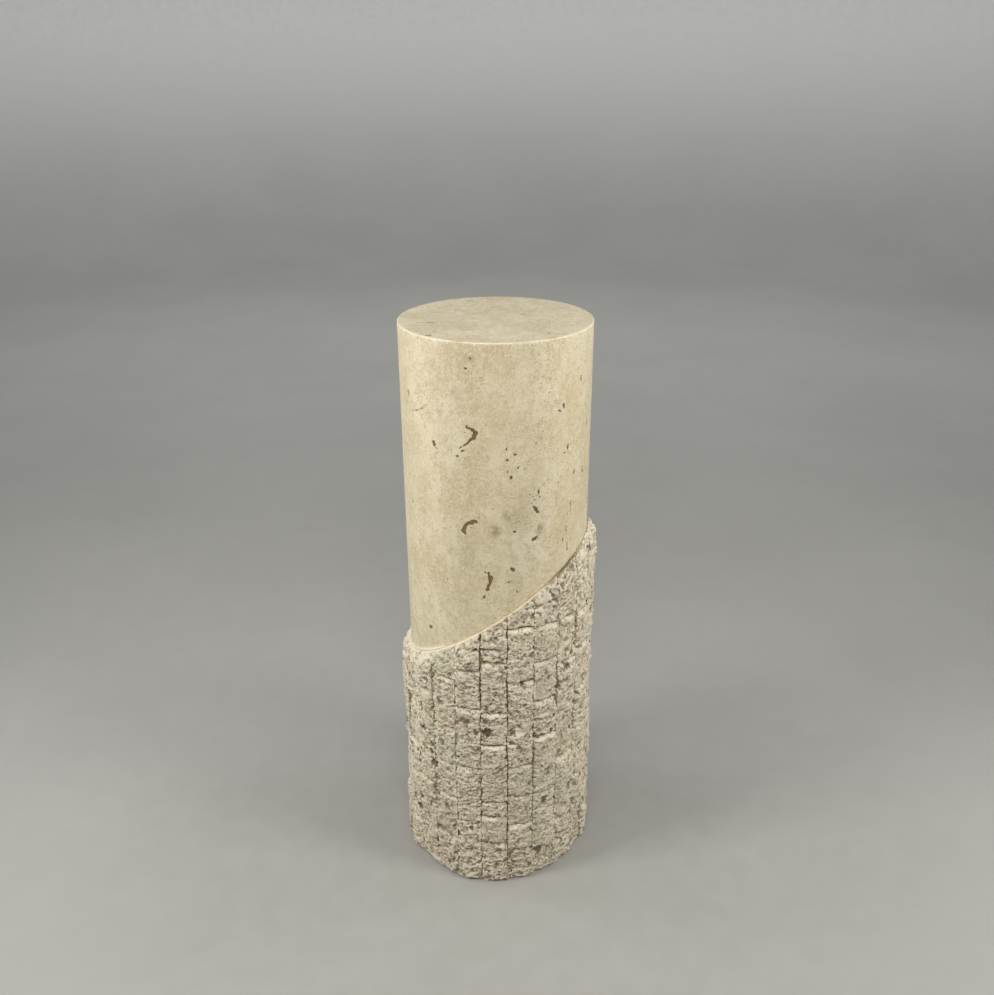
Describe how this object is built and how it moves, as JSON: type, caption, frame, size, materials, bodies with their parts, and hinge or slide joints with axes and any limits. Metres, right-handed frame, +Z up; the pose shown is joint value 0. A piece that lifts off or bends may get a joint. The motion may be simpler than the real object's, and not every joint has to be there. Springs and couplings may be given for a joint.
{
  "type": "round stone display pedestal",
  "caption": "Round stone display pedestal: a honed limestone drum whose lower part, below a slanted line, is clad in upright rows of rough split stones.",
  "frame": {"origin": "middle of the drum's flat underside, on the floor", "axes": "+Z up along the drum's axis, -Y towards the viewer of the picture, +X towards the side where the split stones rise highest"},
  "size_m": [0.3183, 0.3154, 0.91],
  "materials": {
    "honed_limestone": "honed satin, cream with brown fossil marks and small pits",
    "split_limestone": "rough split face, matt, grey beige with pinkish, greenish and brown patches"
  },
  "bodies": {
    "root": {"smooth_shaft": "honed_limestone", "split_stone_row_01": "split_limestone", "split_stone_row_02": "split_limestone", "split_stone_row_03": "split_limestone", "split_stone_row_04": "split_limestone", "split_stone_row_05": "split_limestone", "split_stone_row_06": "split_limestone", "split_stone_row_07": "split_limestone", "split_stone_row_08": "split_limestone", "split_stone_row_09": "split_limestone", "split_stone_row_10": "split_limestone", "split_stone_row_11": "split_limestone", "split_stone_row_12": "split_limestone", "split_stone_row_13": "split_limestone", "split_stone_row_14": "split_limestone", "split_stone_row_15": "split_limestone", "split_stone_row_16": "split_limestone", "split_stone_row_17": "split_limestone", "split_stone_row_18": "split_limestone", "split_stone_row_19": "split_limestone", "split_stone_row_20": "split_limestone", "split_stone_row_21": "split_limestone", "split_stone_row_22": "split_limestone", "split_stone_row_23": "split_limestone"}
  },
  "joints": []
}
